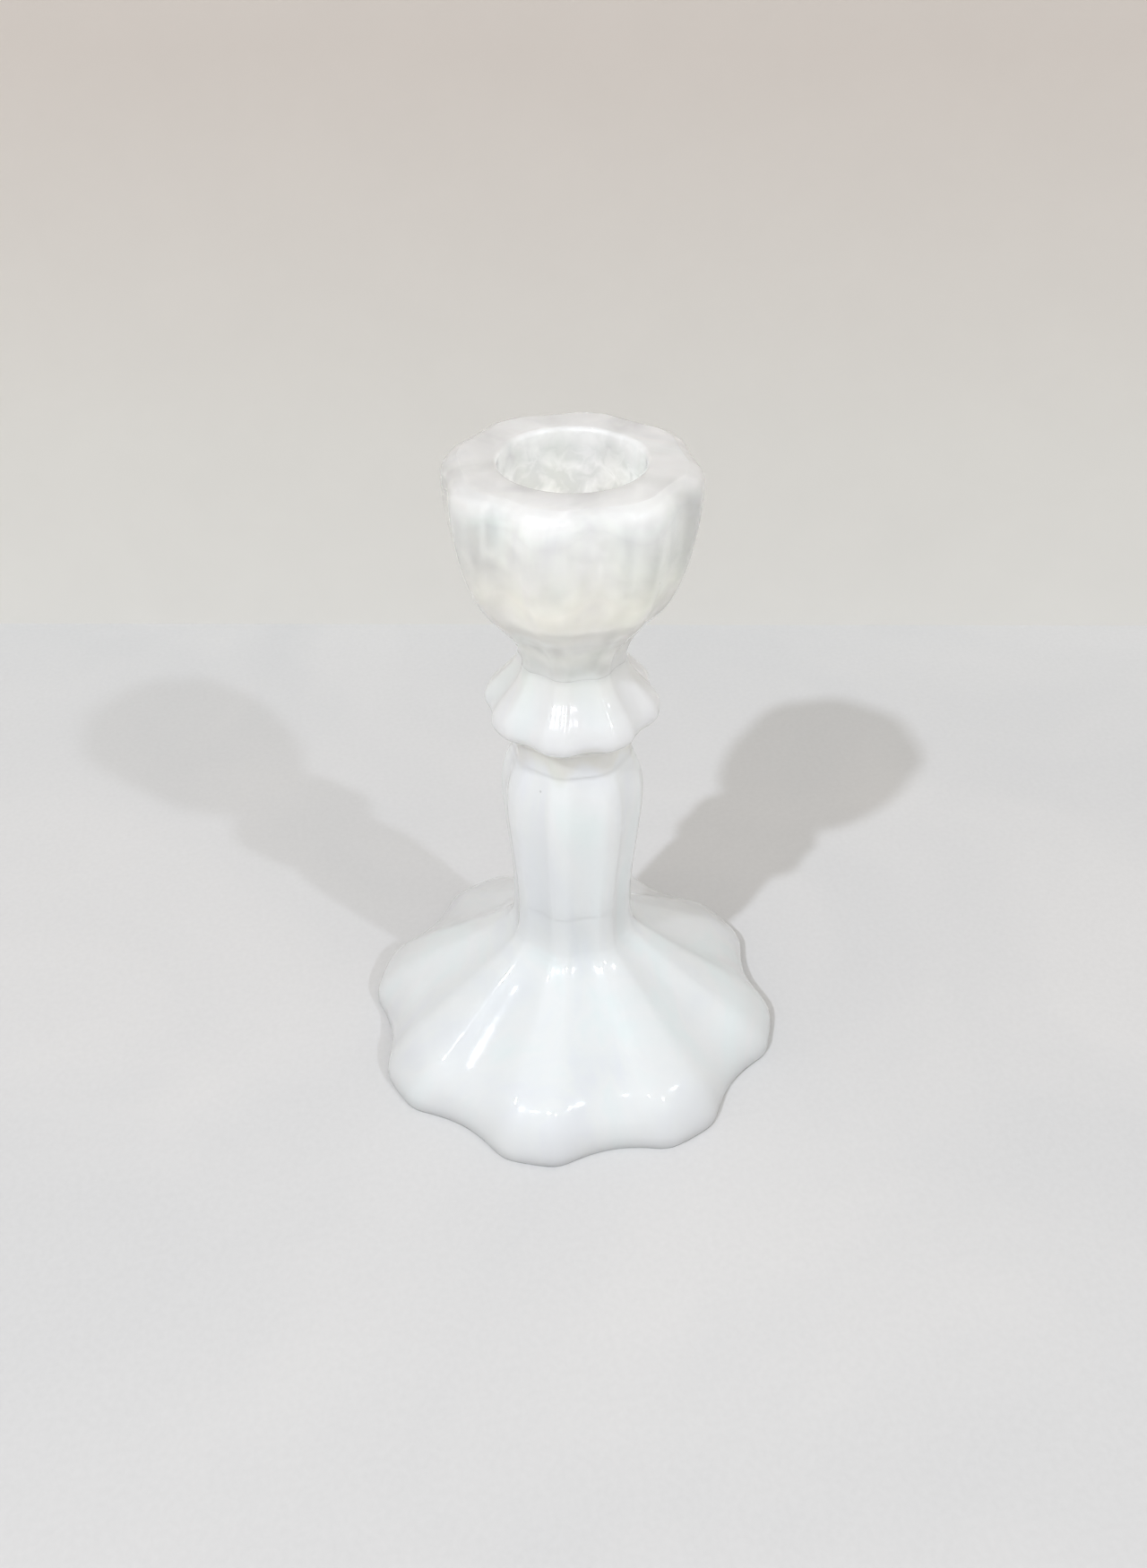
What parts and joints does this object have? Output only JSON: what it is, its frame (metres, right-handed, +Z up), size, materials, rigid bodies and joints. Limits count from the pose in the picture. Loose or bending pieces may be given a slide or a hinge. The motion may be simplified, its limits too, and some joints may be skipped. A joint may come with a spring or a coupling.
{
  "type": "candlestick",
  "caption": "Small fluted opal-glass candlestick: scalloped flared foot, fluted stem, lobed knop and a tulip-shaped cup with a round candle socket.",
  "frame": {"origin": "centre of the resting face of the foot, on the axis of the candle socket", "axes": "+Z up along the candle axis; a wide flute faces -Y, and the pattern of flutes is the same about X and Y"},
  "size_m": [0.0744, 0.0744, 0.1152],
  "materials": {
    "opal_white": "glossy fire-polished opal glass, bluish white in reflected light",
    "opal_pale": "glossy fire-polished opal glass, thinner and more see-through, warm grey where light passes through it"
  },
  "bodies": {
    "root": {"foot": "opal_white", "stem": "opal_white", "knop": "opal_white", "neck": "opal_pale", "candle_cup": "opal_pale"}
  },
  "joints": []
}
